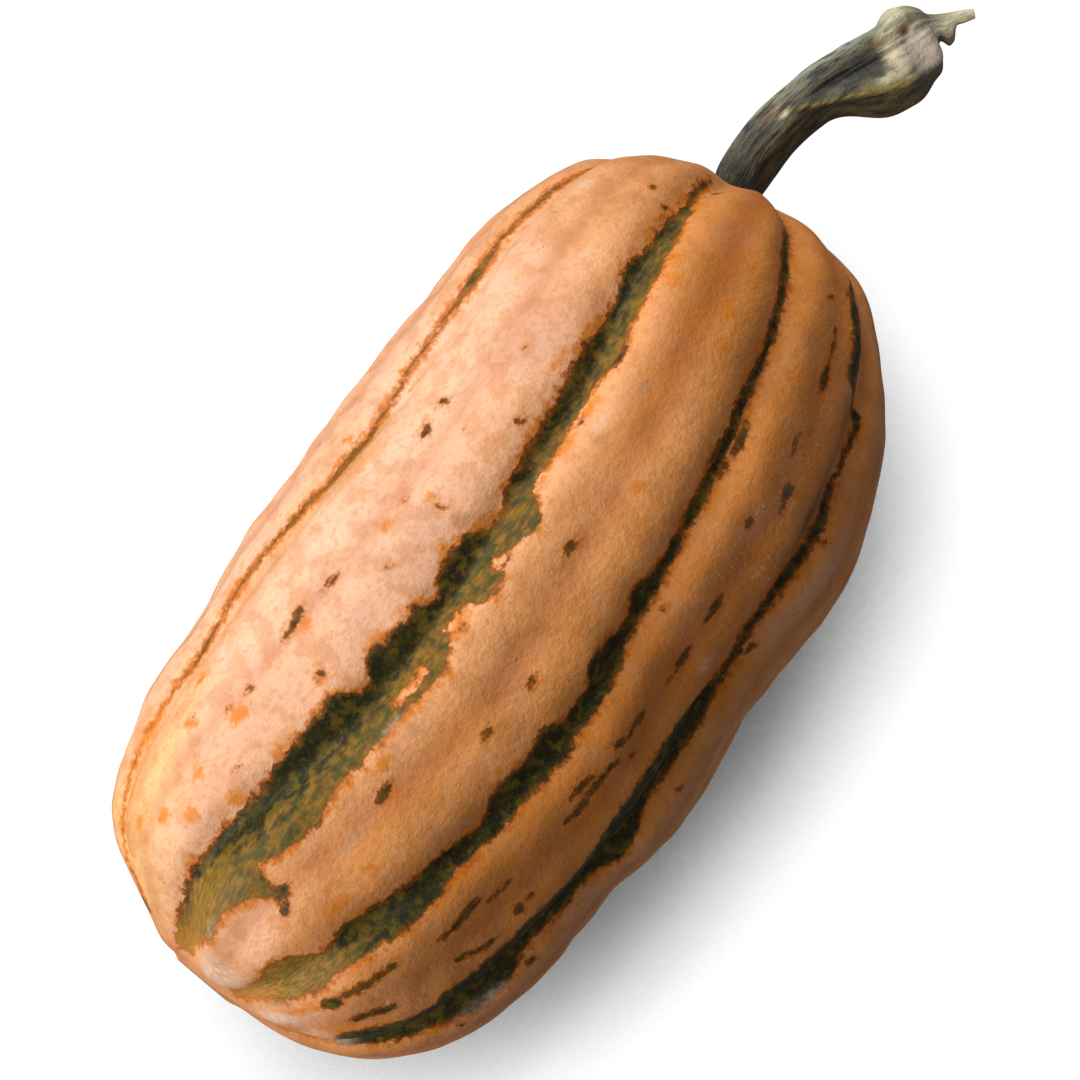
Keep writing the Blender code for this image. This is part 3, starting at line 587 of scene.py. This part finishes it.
def fruit_points(rings, sides):
    """Points of the rind from the fruit's middle, ring by ring from the blossom pole to the socket."""
    x, radius, normal_x, normal_r, u, _ = meridian(rings)
    turn = np.linspace(0.0, 2 * np.pi, sides, endpoint=False)
    place, nearest, gap, depth = groove_field(u, turn)
    around = radius[:, None]
    groove = -depth * np.exp(-((nearest * around / GROOVE_HALF_WIDTH) ** 2))
    crown = RIB_CROWN * (np.sin(np.pi * place) - 1)
    valley = -RIB_VALLEY_DEPTH * np.exp(-(((place - 0.5) * gap * around / RIB_VALLEY_HALF_WIDTH) ** 2))
    edge = np.where(u > 0, SOCKET_RADIUS, SCAR_RADIUS)
    fade = np.clip((radius - edge) / RELIEF_FADE, 0.0, 1.0)[:, None]
    fade = fade * fade * (3 - 2 * fade)
    flat_y = -around * np.sin(turn)
    flat_z = around * np.cos(turn)
    lumpy = lumps(x[:, None], flat_y, flat_z, LUMP_SEED, LUMP_COUNT, LUMP_HEIGHT, LUMP_LENGTH)
    dented = lumps(x[:, None], flat_y, flat_z, DENT_SEED, DENT_COUNT, DENT_HEIGHT, DENT_LENGTH)
    relief = fade * (groove + crown + valley + lumpy + dented - DENT_HEIGHT)
    lean = np.clip((radius.max() - radius) / (radius.max() - SOCKET_RADIUS), 0.0, 1.0) ** POLE_LEAN_POWER
    centre_y = lean * np.where(u < 0, BLOSSOM_POLE_SIDE, STEM_POLE_SIDE) + smooth(u, SIDE_PLACES, SIDE_SHIFTS)
    centre_z = ARCH_RISE * u**2
    out = around + relief * normal_r[:, None]
    tilt = np.clip((np.abs(u) - TILT_START) / (1 - TILT_START), 0.0, 1.0) ** 2
    tilt = tilt * np.where(u < 0, BLOSSOM_TILT, -STEM_TILT)
    py = centre_y[:, None] - out * np.sin(turn)
    px = x[:, None] + relief * normal_x[:, None] + tilt[:, None] * py
    pz = centre_z[:, None] + HEIGHT_SHARE * out * np.cos(turn)
    return np.stack([px, py, pz], axis=-1)


def evened(rows, reach):
    """Each row averaged with the reach rows before and after it."""
    padded = np.pad(rows, ((reach, reach), (0, 0)), mode="edge")
    return np.stack([padded[i : i + len(rows)] for i in range(2 * reach + 1)]).mean(axis=0)


def stem_points(rings_a_station, sides):
    """Points of the stem from the fruit's middle, ring by ring from its root to its splinter, and the metres
    along it and degrees round it of each."""
    stations = np.array(STEM_STATIONS)
    count = len(stations)
    swept = smooth(np.linspace(0, count - 1, (count - 1) * rings_a_station + 1), np.arange(count), stations)
    line = swept[:, :3]
    core = swept[:, 3][:, None]
    forward = np.gradient(line, axis=0)
    forward /= np.linalg.norm(forward, axis=1)[:, None]
    forward = evened(forward, RING_EVENING * rings_a_station)
    forward /= np.linalg.norm(forward, axis=1)[:, None]
    side = np.cross(forward, (0.0, 0.0, 1.0))
    side /= np.linalg.norm(side, axis=1)[:, None]
    up = np.cross(side, forward)
    along = np.concatenate([[0.0], np.cumsum(np.linalg.norm(np.diff(line, axis=0), axis=1))])[:, None]
    degrees = np.linspace(0.0, 360.0, sides, endpoint=False)[None, :]
    turn = np.radians(degrees)
    start = np.clip((along - BARE_ROOT) / GROWING_IN, 0.0, 1.0)
    end = np.clip((core - SPLINTER_RADIUS) / (STEM_RADIUS - SPLINTER_RADIUS), 0.0, 1.0)
    relief = STEM_RIDGE_HEIGHT * np.cos(STEM_RIDGES * (turn - STEM_TWIST * along))
    crest = apart(degrees, smooth(along[:, 0], CREST_PLACES, CREST_ANGLES)[:, None]) / CREST_HALF_WIDTH
    grown = np.clip((along - CREST_PLACES[0]) / CREST_GROWING_IN, 0.0, 1.0)
    relief = relief + CREST_HEIGHT * grown * np.exp(-(crest**2))
    for number, height, wander in FIBRES:
        relief = relief + height * np.cos(number * turn + 2.0 * np.sin(wander * along) - wander * along)
    relief = relief * end
    for place, angle, height, half_length, half_width in STEM_FORMS + STEM_FINE_FORMS:
        far = apart(degrees, angle) / half_width
        relief = relief + height * np.exp(-((abs(along - place) / half_length) ** 3) - far**2)
    radius = core + relief * start
    points = (
        line[:, None, :]
        + (radius * np.sin(turn))[..., None] * side[:, None, :]
        + (radius * np.cos(turn))[..., None] * up[:, None, :]
    )
    along, degrees = np.broadcast_arrays(along, degrees)
    return points, along, degrees


def dash_depth(along, turn, degree, dashes):
    """Millimetres that each point lies inside the nearest of some dashes, negative outside them."""
    deepest = np.full(along.shape, -np.inf)
    for start, start_turn, end, end_turn, half_width in dashes:
        across = apart(turn, start_turn) * degree
        reach_along = end - start
        reach_across = (end_turn - start_turn) * degree
        share = (along - start) * reach_along + across * reach_across
        share = np.clip(share / (reach_along**2 + reach_across**2 + 1e-9), 0.0, 1.0)
        away = np.hypot(along - start - share * reach_along, across - share * reach_across)
        deepest = np.maximum(deepest, half_width * (1.1 - 1.6 * (share - 0.5) ** 2) - away)
    return deepest


def stripe_depth(along, turn, degree, rows):
    """Millimetres that each point lies inside a stripe, and past the line where the stripe turns olive."""
    places, start, olive, end = np.array(rows, float).T
    line = along[:, :1].ravel()
    start, olive, end = (smooth(line, places, v)[:, None] for v in (start, olive, end))
    depth = np.minimum(apart(turn, start), -apart(turn, end)) * degree
    depth = np.where(abs(apart(turn, start)) < 90.0, depth, -np.inf)
    depth = np.minimum(depth, np.minimum(along - places[0], places[-1] - along))
    return depth, apart(turn, olive) * degree


def hidden_rows(u, along, degree):
    """Rows of the stripes on the hidden side, uneven in a seeded way, in the form of STRIPES."""
    random = np.random.default_rng(HIDDEN_SEED)
    stripes = []
    for number, half_width in HIDDEN_STRIPES:
        angles = GROOVES[number][0]
        rows = []
        for place in np.arange(*HIDDEN_STRIPE_PLACES, HIDDEN_ROW_STEP):
            middle = np.interp(np.interp(place, along, u), GROOVE_PLACES, angles)
            half = half_width / np.interp(place, along, degree)
            first, last = random.uniform(1 - HIDDEN_UNEVENNESS, 1 + HIDDEN_UNEVENNESS, 2)
            olive = half * random.uniform(-0.4, 1.4)
            rows.append((place, middle - half * first, middle + olive, middle + half * last))
        stripes.append(rows)
    return stripes


def hidden_dashes(count, seed, longest, widest):
    """Seeded dashes for the hidden side, in the form of FLECKS."""
    random = np.random.default_rng(seed)
    dashes = []
    for _ in range(count):
        start = random.uniform(*HIDDEN_MARK_PLACES)
        turn = random.uniform(*HIDDEN_MARK_TURNS)
        length = random.uniform(0.5, longest)
        slope = random.uniform(-1.5, 1.5)
        dashes.append((start, turn, start + length, turn + slope, random.uniform(0.5, widest)))
    return dashes


def soft_area(along, turn, area):
    """How strongly a soft area covers each point, from 0 to its strength."""
    place, angle, half_length, half_width = area[:4]
    far = ((along - place) / half_length) ** 2 + (apart(turn, angle) / half_width) ** 2
    return area[-1] * np.exp(-(far**1.5))


def blended(along, turn, ground, areas):
    """The ground colour with soft areas of other colours laid over it."""
    colour = np.broadcast_to(np.array(ground), along.shape + (3,)).copy()
    for area in areas:
        share = soft_area(along, turn, area)[..., None]
        colour = colour * (1 - share) + np.array(area[4]) * share
    return colour


def patches(along, turn, areas):
    """How strongly the strongest of some soft areas covers each point."""
    return np.max([soft_area(along, turn, area) for area in areas], axis=0)


def stripe_marks(along, turn, degree, u):
    """For each point: how deep it lies in the dark stripes, in their olive part and in the orange round them,
    and how far the edges of its stripe wander, all in millimetres."""
    line = along[:, 0]
    hidden = hidden_rows(u, line, degree[:, 0])
    halos = STRIPE_HALOS + (HIDDEN_HALO,) * len(hidden)
    wanders = STRIPE_WANDER + (HIDDEN_WANDER,) * len(hidden)
    dark = np.full(along.shape, -np.inf)
    olive = np.zeros(along.shape)
    halo = np.full(along.shape, -np.inf)
    wander = np.zeros(along.shape)
    for rows, width, reach in zip(STRIPES + tuple(hidden), halos, wanders):
        depth, past = stripe_depth(along, turn, degree, rows)
        olive = np.where(depth > dark, past, olive)
        wander = np.where(depth > dark, reach, wander)
        dark = np.maximum(dark, depth)
        halo = np.maximum(halo, depth + width)
    gap = dash_depth(along, turn, degree, STRIPE_GAPS)
    return np.minimum(dark, -gap), olive, np.minimum(halo, GAP_EDGE - gap), wander


def rolled_out(along, turn, radius):
    """Places in millimetres on an even tube, where the noise of a surface isn't squeezed or stretched."""
    reach = radius / MM
    return np.stack([along, reach * np.cos(np.radians(turn)), reach * np.sin(np.radians(turn))], axis=-1)


def rind_marks():
    """What each point of the rind carries for its material, from its ground colour to its rubbed patches."""
    _, radius, _, _, u, length = meridian(FRUIT_RINGS)
    turn = np.linspace(0.0, 360.0, FRUIT_SIDES, endpoint=False)
    along, turn = np.meshgrid(length / MM, turn, indexing="ij")
    degree = (np.maximum(radius / MM, 2.0) * np.pi / 180)[:, None]
    dark, olive, halo, wander = stripe_marks(along, turn, degree, u)
    flecks = FLECKS + tuple(hidden_dashes(*HIDDEN_FLECKS))
    spots = SPOTS + tuple(hidden_dashes(*HIDDEN_SPOTS))
    fleck = dash_depth(along, turn, degree, flecks)
    place, _, gap_turn, _ = groove_field(u, np.radians(turn[0]))
    off_line = (place - 0.5) * np.degrees(gap_turn) * degree
    return {
        "skin": rolled_out(along, turn, FRUIT_RADIUS),
        "tint": blended(along, turn, PEACH, RIND_AREAS),
        "dark": dark,
        "fleck": fleck,
        "olive": np.where(fleck > dark, NO_OLIVE, olive),
        "halo": halo,
        "spot": np.maximum(fleck + FLECK_FRINGE, dash_depth(along, turn, degree, spots)),
        "wander": wander,
        "rib_valley_shade": RIB_LINE_STRENGTH * np.exp(-((off_line / RIB_LINE_HALF_WIDTH) ** 2)),
        "scuff": patches(along, turn, SCUFFS),
        "scratched": patches(along, turn, SCRATCHES),
    }


def stem_marks(along, degrees):
    """What each point of the stem carries: its place for the material's noise, and its ground colour."""
    along = along / MM
    colour = blended(along, degrees, BARK, STEM_AREAS)
    crest = smooth(along[:, 0] * MM, CREST_PLACES, CREST_ANGLES)[:, None]
    share = np.exp(-((apart(degrees, crest) / CREST_TINT_WIDTH) ** 2))
    inside = np.minimum(along - CREST_TINT_RANGE[0], CREST_TINT_RANGE[1] - along) / CREST_TINT_FADE
    share = (share * np.clip(inside, 0.0, 1.0))[..., None]
    colour = colour * (1 - share) + np.array(CREST_YELLOW) * share
    bark = rolled_out(along, degrees, STEM_RADIUS)
    return {"bark": bark, "tint": colour, "bare": patches(along, degrees, BARE_AREAS)}


def tube_faces(rings, sides):
    """Four-sided faces between rings that follow each other, three-sided ones to a point at each end. The two
    end points come after the rings."""
    faces = []
    for ring in range(rings - 1):
        first = ring * sides
        for i in range(sides):
            j = (i + 1) % sides
            faces.append((first + i, first + j, first + sides + j, first + sides + i))
    last = (rings - 1) * sides
    start_point = rings * sides
    for i in range(sides):
        j = (i + 1) % sides
        faces.append((j, i, start_point))
        faces.append((last + i, last + j, start_point + 1))
    return faces


def closed_tube(name, rings, marks, finish):
    """A closed object from rings of points, with the marks of each point kept as mesh attributes."""
    count, sides, _ = rings.shape
    points = np.concatenate([rings.reshape(-1, 3), rings[0].mean(axis=0)[None], rings[-1].mean(axis=0)[None]])
    points = points + np.array((MIDDLE_X, MIDDLE_Y, AXIS_HEIGHT))
    points[:, 2] = np.maximum(points[:, 2], 0.0)
    mesh = bpy.data.meshes.new(name)
    mesh.from_pydata(points.tolist(), [], tube_faces(count, sides))
    for mark, values in marks.items():
        flat = values.reshape((count * sides,) + values.shape[2:])
        values = np.concatenate([flat, values[0, :1], values[-1, :1]])
        if mark == "tint":
            store = mesh.attributes.new(mark, "FLOAT_COLOR", "POINT")
            values = np.concatenate([values, np.ones((len(values), 1))], axis=1)
            store.data.foreach_set("color", values.ravel())
        elif values.ndim > 1:
            store = mesh.attributes.new(mark, "FLOAT_VECTOR", "POINT")
            store.data.foreach_set("vector", values.ravel())
        else:
            store = mesh.attributes.new(mark, "FLOAT", "POINT")
            store.data.foreach_set("value", values)
    mesh.shade_smooth()
    mesh.materials.append(finish)
    made = bpy.data.objects.new(name, mesh)
    bpy.context.scene.collection.objects.link(made)
    return made


def make_rind(finish):
    """The fruit's skin, one closed surface with the stem's socket in its end."""
    points = fruit_points(FRUIT_RINGS, FRUIT_SIDES)
    marks = rind_marks()
    floor = points[-1:] - np.array([SOCKET_DEPTH, 0.0, 0.0])
    rings = np.concatenate([points[1:], floor])
    marks = {name: np.concatenate([values[1:], values[-1:]]) for name, values in marks.items()}
    return closed_tube("rind", rings, marks, finish)


def make_stalk(finish):
    points, along, degrees = stem_points(STEM_RINGS_A_STATION, STEM_SIDES)
    return closed_tube("stalk", points, stem_marks(along, degrees), finish)


class Shader:
    """Adds nodes to one material. Each value may be a number, a tuple or the output of another node."""

    def __init__(self, name):
        self.material = bpy.data.materials.new(name)
        self.material.use_nodes = True
        self.nodes = self.material.node_tree.nodes
        self.surface = self.nodes["Principled BSDF"]

    def put(self, socket, value):
        if isinstance(value, bpy.types.NodeSocket):
            self.material.node_tree.links.new(value, socket)
        elif isinstance(value, tuple) and socket.type == "RGBA":
            socket.default_value = (*value, 1.0)
        else:
            socket.default_value = value

    def add(self, kind, inputs, **settings):
        """The outputs of a new node with these inputs and settings."""
        node = self.nodes.new("ShaderNode" + kind)
        for name, value in settings.items():
            setattr(node, name, value)
        for key, value in inputs.items():
            self.put(node.inputs[key], value)
        return node.outputs

    def attribute(self, name, output="Fac"):
        return self.add("Attribute", {}, attribute_name=name)[output]

    def math(self, operation, first, second=0.0):
        return self.add("Math", {0: first, 1: second}, operation=operation)[0]

    def total(self, *terms):
        """The sum of some values, each times its weight."""
        result = 0.0
        for value, weight in terms:
            result = self.math("ADD", result, self.math("MULTIPLY", value, weight))
        return result

    def shifted(self, place, shift):
        return self.add("VectorMath", {0: place, 1: (shift, shift, shift)}, operation="ADD")[0]

    def stretched(self, place, stretch):
        return self.add("VectorMath", {0: place, 1: stretch}, operation="MULTIPLY")[0]

    def noise(self, place, scale, detail, stretch=None):
        """Soft noise about 0.5, with scale features a unit of place."""
        place = self.stretched(place, stretch) if stretch else place
        return self.add("TexNoise", {"Vector": place, "Scale": scale, "Detail": detail})["Fac"]

    def dots(self, place, scale, reach, share, stretch=None):
        """Round dots in a share of the cells of a loose grid: 1 in the middle of a dot, 0 outside."""
        place = self.stretched(place, stretch) if stretch else place
        cells = self.add("TexVoronoi", {"Vector": place, "Scale": scale})
        chosen = self.rise(cells["Color"], 1.0 - share, 1.0 - share + 0.02)
        return self.math("MULTIPLY", self.rise(cells["Distance"], reach, reach * 0.4), chosen)

    def rise(self, value, low, high):
        """0 where value is at low, 1 where it is at high, smooth between."""
        inputs = {"Value": value, "From Min": low, "From Max": high}
        return self.add("MapRange", inputs, interpolation_type="SMOOTHSTEP")["Result"]

    def scaled(self, value, low, high):
        """A value from 0 to 1 turned into one from low to high."""
        return self.add("MapRange", {"Value": value, "To Min": low, "To Max": high})["Result"]

    def ragged(self, value, noise, reach):
        """A distance made uneven by noise, by reach each way."""
        shift = self.math("MULTIPLY", self.math("SUBTRACT", noise, 0.5), self.math("MULTIPLY", reach, 2.0))
        return self.math("ADD", value, shift)

    def mix(self, share, first, second, blend="MIX"):
        inputs = {"Factor": share, MIX_FIRST: first, MIX_SECOND: second}
        return self.add("Mix", inputs, data_type="RGBA", blend_type=blend)[MIX_RESULT]

    def laid(self, below, above, value, low, high, share):
        """The colour below with the one above laid over it, by up to share as value goes from low to high."""
        return self.mix(self.math("MULTIPLY", self.rise(value, low, high), share), below, above)

    def place(self):
        """The point's own place in millimetres."""
        return self.stretched(self.add("TexCoord", {})["Object"], (1 / MM, 1 / MM, 1 / MM))

    def along(self, place):
        return self.add("SeparateXYZ", {0: place})["X"]

    def bump(self, height, depth):
        """Bumps of the surface, for a height from 0 to 1 that stands depth metres high."""
        bumps = self.add("Bump", {"Distance": depth, "Height": height})
        self.put(self.surface.inputs["Normal"], bumps["Normal"])

    def finish(self, colour, roughness):
        self.put(self.surface.inputs["Base Color"], colour)
        self.put(self.surface.inputs["Roughness"], roughness)
        return self.material


class Rind(Shader):
    """The rind's material, with the places and the noises that its parts share."""

    def __init__(self):
        super().__init__("rind")
        self.skin = self.attribute("skin", "Vector")
        self.point = self.place()
        self.wander = self.attribute("wander")
        self.cloud = self.noise(self.point, 0.22, 4.0)
        self.mottle = self.noise(self.point, 0.8, 3.0)
        self.grain = self.noise(self.point, 1.9, 2.0)


def rind_ground(rind):
    """The rind's colour: its tints, with painted light and shade on its two sides, blotches, rosy patches,
    clouds, the line down each rib, partly painted shade of its valley, and a fine grain.
    """
    blotch = rind.noise(rind.point, 0.09, 3.0)
    rosy = rind.noise(rind.shifted(rind.point, 40.0), 0.14, 3.0)
    streak = rind.noise(rind.skin, 1.0, 2.0, (0.12, 0.9, 0.9))
    colour = rind.laid(rind.attribute("tint", "Color"), APRICOT, blotch, 0.45, 0.68, 0.22)
    colour = rind.laid(colour, rind.mix(0.6, colour, ROSE_GREY), rosy, 0.45, 0.66, 0.30)
    clouded = rind.mix(0.55, colour, UMBER_RIND)
    colour = rind.laid(colour, clouded, rind.cloud, 0.48, 0.62, 0.60)
    # The line down each rib darkens its valley: partly painted shade
    colour = rind.mix(rind.attribute("rib_valley_shade"), colour, rind.mix(0.6, colour, ROSE_GREY, "MULTIPLY"))
    colour = rind.laid(colour, clouded, rind.mottle, 0.50, 0.68, 0.50)
    colour = rind.laid(colour, AMBER, streak, 0.50, 0.75, 0.14)
    return rind.laid(colour, rind.mix(0.5, colour, RUST), rind.grain, 0.38, 0.68, 0.22)


def mark_shape(rind):
    """Millimetres inside the ragged outlines of the dark stripes and flecks."""
    wide = rind.noise(rind.skin, 1.0, 3.0, (0.32, 0.42, 0.42))
    stripe = rind.ragged(rind.attribute("dark"), wide, rind.wander)
    stripe = rind.ragged(stripe, rind.mottle, rind.math("MULTIPLY", rind.wander, 1.1))
    stripe = rind.ragged(stripe, rind.grain, 0.5)
    fleck = rind.ragged(rind.ragged(rind.attribute("fleck"), rind.mottle, 0.8), rind.grain, 0.4)
    return rind.math("MAXIMUM", stripe, fleck)


def orange_over(rind, colour, shape):
    """A colour with patchy orange laid over it, along the stripes and in spots, darker near the stripes."""
    edge = rind.ragged(rind.attribute("halo"), rind.cloud, rind.math("MULTIPLY", rind.wander, 2.2))
    edge = rind.ragged(rind.ragged(edge, rind.mottle, 1.5), rind.grain, 0.6)
    spot = rind.ragged(rind.ragged(rind.attribute("spot"), rind.mottle, 1.2), rind.grain, 0.6)
    orange = rind.math("MAXIMUM", rind.rise(edge, -0.6, 0.7), rind.rise(spot, -0.9, 0.8))
    tone = rind.mix(rind.rise(rind.ragged(shape, rind.mottle, 1.0), -1.1, -0.1), ORANGE, BURNT)
    return rind.mix(rind.math("MULTIPLY", orange, 0.85), colour, tone)


def mark_colour(rind, shape):
    """The stripes' colour, and how washed out they are near the blossom end. They are dark green and olive,
    marbled and streaked along the rib, with a rusty rim."""
    marbling = rind.noise(rind.skin, 1.0, 4.0, (0.26, 0.55, 0.55))
    thread = rind.noise(rind.skin, 1.0, 2.0, (0.45, 2.2, 2.2))
    patch = rind.noise(rind.shifted(rind.point, 17.0), 0.42, 4.0)
    olive = rind.ragged(rind.ragged(rind.attribute("olive"), marbling, 3.4), rind.mottle, 2.0)
    green = rind.laid(DARK_GREEN, MOSS, marbling, 0.40, 0.70, 0.9)
    green = rind.laid(green, OLIVE, patch, 0.48, 0.66, 0.8)
    green = rind.laid(green, GOLD, rind.grain, 0.50, 0.75, 0.22)
    golden = rind.laid(MOSS_OLIVE, GOLD, patch, 0.34, 0.56, 0.85)
    golden = rind.laid(golden, MOSS, marbling, 0.54, 0.36, 0.65)
    golden = rind.laid(golden, MOSS, rind.mottle, 0.56, 0.36, 0.45)
    place = rind.ragged(rind.along(rind.skin), marbling, 9.0)
    washed = rind.mix(rind.rise(thread, 0.32, 0.68), rind.mix(0.5, OLIVE, WASH), WASH)
    golden = rind.laid(golden, washed, place, OLIVE_FULL, STRIPE_WASHED, 0.9)
    # Dark green before the olive line, olive past it: on the stripes that face the camera, partly painted
    # shade and painted light of the groove's walls
    colour = rind.mix(rind.rise(olive, -1.6, 1.9), green, golden)
    colour = rind.laid(colour, DARK_GREEN, thread, 0.62, 0.36, 0.28)
    colour = rind.laid(colour, RUST, rind.ragged(shape, rind.grain, 0.4), 0.75, 0.05, 0.7)
    faded = rind.rise(place, STRIPE_FULL, STRIPE_WASHED)
    return rind.mix(rind.math("MULTIPLY", faded, 0.8), colour, washed), faded


def rubs(rind):
    """How strongly the rind is rubbed pale, and how strongly it is scratched."""
    patchy = rind.scaled(rind.rise(rind.mottle, 0.36, 0.64), 0.25, 1.0)
    scuff = rind.math("MULTIPLY", rind.attribute("scuff"), patchy)
    scratch = rind.rise(rind.noise(rind.skin, 1.0, 1.0, (2.6, 0.5, 0.5)), 0.58, 0.72)
    scratch = rind.math("MULTIPLY", scratch, rind.attribute("scratched"))
    stray = rind.math("MULTIPLY", rind.dots(rind.point, 1.0, 0.07, 0.02, (0.16, 0.85, 0.5)), 0.35)
    return rind.math("MAXIMUM", scuff, rind.math("MAXIMUM", scratch, stray)), scratch


def rind_material():
    """Waxy rind: mottled peach, with ragged dark green and olive stripes, orange along their edges."""
    rind = Rind()
    fine = rind.noise(rind.point, 4.5, 1.0)
    shape = mark_shape(rind)
    colour = orange_over(rind, rind_ground(rind), shape)
    marked, faded = mark_colour(rind, shape)
    stripe = rind.math("MULTIPLY", rind.rise(shape, -0.35, 0.20), rind.scaled(faded, 1.0, 0.7))
    colour = rind.mix(stripe, colour, marked)
    # Small dark specks everywhere, and pale ones on the stripes: wax bloom, and partly painted glints
    specks = rind.dots(rind.point, 0.24, 0.085, 0.36)
    colour = rind.mix(rind.math("MULTIPLY", specks, 0.55), colour, SPECK)
    bloom_and_glint = rind.math("MULTIPLY", rind.dots(rind.point, 0.9, 0.16, 0.06), stripe)
    colour = rind.mix(rind.math("MULTIPLY", bloom_and_glint, 0.5), colour, BLOOM_AND_GLINT)
    rubbed, scratch = rubs(rind)
    colour = rind.mix(rubbed, colour, SCUFFED)
    scar = rind.rise(rind.ragged(rind.along(rind.skin), rind.grain, 2.0), SCAR_END, SCAR_FULL)
    cork = rind.mix(rind.rise(rind.mottle, 0.3, 0.6), SPECK, CORK)
    colour = rind.mix(rind.math("MULTIPLY", scar, 0.9), colour, cork)
    dull = rind.math("MAXIMUM", rubbed, scar)
    roughness = rind.total((rind.scaled(rind.cloud, 0.40, 0.62), 1.0), (stripe, 0.08), (dull, 0.28))
    height = rind.total(
        (rind.mottle, 0.55),
        (rind.grain, 0.24),
        (fine, 0.12),
        (stripe, rind.scaled(rind.mottle, -0.10, -0.45)),
        (specks, -0.25),
        (scratch, 0.2),
        (scar, rind.scaled(rind.mottle, 0.0, 2.0)),
    )
    rind.bump(height, RIND_RELIEF)
    rind.put(rind.surface.inputs["Specular IOR Level"], RIND_SPECULAR)
    return rind.finish(colour, roughness)


def stem_material():
    """Dry bark: grey green with dark fibres along it, and a dull, split surface. Where the bark is gone, the
    wood is pale and smoother."""
    stem = Shader("stem_bark")
    bark = stem.attribute("bark", "Vector")
    fibre = stem.noise(bark, 1.0, 5.0, (0.22, 1.3, 1.3))
    thread = stem.noise(bark, 1.0, 4.0, (0.6, 3.6, 3.6))
    grain = stem.noise(bark, 2.6, 4.0)
    patch = stem.noise(bark, 0.5, 4.0)
    rough = stem.scaled(stem.attribute("bare"), 1.0, 0.12)
    colour = stem.attribute("tint", "Color")
    colour = stem.laid(colour, CHARCOAL, fibre, 0.54, 0.38, stem.math("MULTIPLY", rough, 0.85))
    colour = stem.laid(colour, PALE_BARK, fibre, 0.56, 0.72, stem.math("MULTIPLY", rough, 0.24))
    colour = stem.laid(colour, UMBER, thread, 0.48, 0.70, stem.math("MULTIPLY", rough, 0.40))
    colour = stem.laid(colour, OLIVE_BARK, patch, 0.50, 0.70, 0.30)
    colour = stem.laid(colour, BUMP_BROWN, grain, 0.50, 0.74, 0.20)
    half_rough = stem.math("MULTIPLY", rough, 0.5)
    stem.bump(stem.total((fibre, rough), (thread, half_rough), (grain, 0.35), (patch, 0.4)), STEM_RELIEF)
    return stem.finish(colour, stem.scaled(grain, 0.58, 0.86))


def open_towards(table, place):
    """How open the floor is on the side that place lies on, from 0 to 1. This shapes the floor's painted
    shadow.
    """
    look = Vector((place[0], place[1], CONTACT_LOOK_UP)).normalized()
    inputs = {"Distance": CONTACT_REACH, "Normal": table.add("CombineXYZ", dict(enumerate(look)))["Vector"]}
    return table.add("AmbientOcclusion", inputs, samples=CONTACT_SAMPLES)["AO"]


def floor_material():
    """A white table that glows though it is no lamp, with a painted shadow: its glow fades close to what lies
    on it, on the side away from the lights.
    """
    table = Shader("glowing_table_painted_shadow")
    first, second = (open_towards(table, place) for _, place, _ in SOFT_LIGHTS)
    # Painted shadow: the glow fades where the floor is hidden towards either light
    light = table.rise(table.math("MINIMUM", first, second), CONTACT_DARKEST, CONTACT_CLEAR)
    table.put(table.surface.inputs["Emission Color"], (1.0, 1.0, 1.0))
    table.put(table.surface.inputs["Emission Strength"], table.scaled(light, 0.03, FLOOR_GLOW))
    return table.finish(FLOOR_COLOUR, FLOOR_ROUGHNESS)


def make_floor():
    """A wide pale floor. It throws no light back, so that the lower side of the squash stays dark."""
    half = FLOOR_SIZE / 2
    corners = [(-half, -half, 0.0), (half, -half, 0.0), (half, half, 0.0), (-half, half, 0.0)]
    mesh = bpy.data.meshes.new("floor")
    mesh.from_pydata(corners, [], [(0, 1, 2, 3)])
    mesh.materials.append(floor_material())
    made = bpy.data.objects.new("floor", mesh)
    made.visible_diffuse = False
    made.visible_glossy = False
    bpy.context.scene.collection.objects.link(made)


def aim(thing, place, target):
    """Puts a camera or light at place, looking at target with its top up."""
    thing.location = place
    thing.rotation_euler = (Vector(place) - Vector(target)).to_track_quat("Z", "Y").to_euler()


def make_lights():
    for name, place, power in SOFT_LIGHTS:
        data = bpy.data.lights.new(name, "AREA")
        data.shape = "DISK"
        data.size = LIGHT_SIZE
        data.energy = power
        light = bpy.data.objects.new(name, data)
        bpy.context.scene.collection.objects.link(light)
        aim(light, place, CAMERA_TARGET)
    world = bpy.data.worlds.new("studio")
    world.use_nodes = True
    background = world.node_tree.nodes["Background"]
    background.inputs["Color"].default_value = (1.0, 1.0, 1.0, 1.0)
    background.inputs["Strength"].default_value = WORLD_STRENGTH
    bpy.context.scene.world = world
    bpy.context.scene.view_settings.view_transform = "Standard"


def make_camera():
    azimuth, elevation = np.radians((CAMERA_AZIMUTH, CAMERA_ELEVATION))
    back = Vector((
        np.sin(azimuth) * np.cos(elevation),
        -np.cos(azimuth) * np.cos(elevation),
        np.sin(elevation),
    ))
    data = bpy.data.cameras.new("camera")
    data.lens = CAMERA_LENS
    data.clip_start = 0.01
    camera = bpy.data.objects.new("camera", data)
    bpy.context.scene.collection.objects.link(camera)
    target = Vector(CAMERA_TARGET)
    aim(camera, target + back * CAMERA_DISTANCE, target)
    bpy.context.scene.camera = camera


def main():
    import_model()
    rind = make_rind(rind_material())
    stalk = make_stalk(stem_material())
    for piece, node, slot in ((rind, "fruit", "rind"), (stalk, "stem", "stem_bark")):
        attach(piece, "root")
        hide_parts(node)
    make_floor()
    make_lights()
    make_camera()


main()
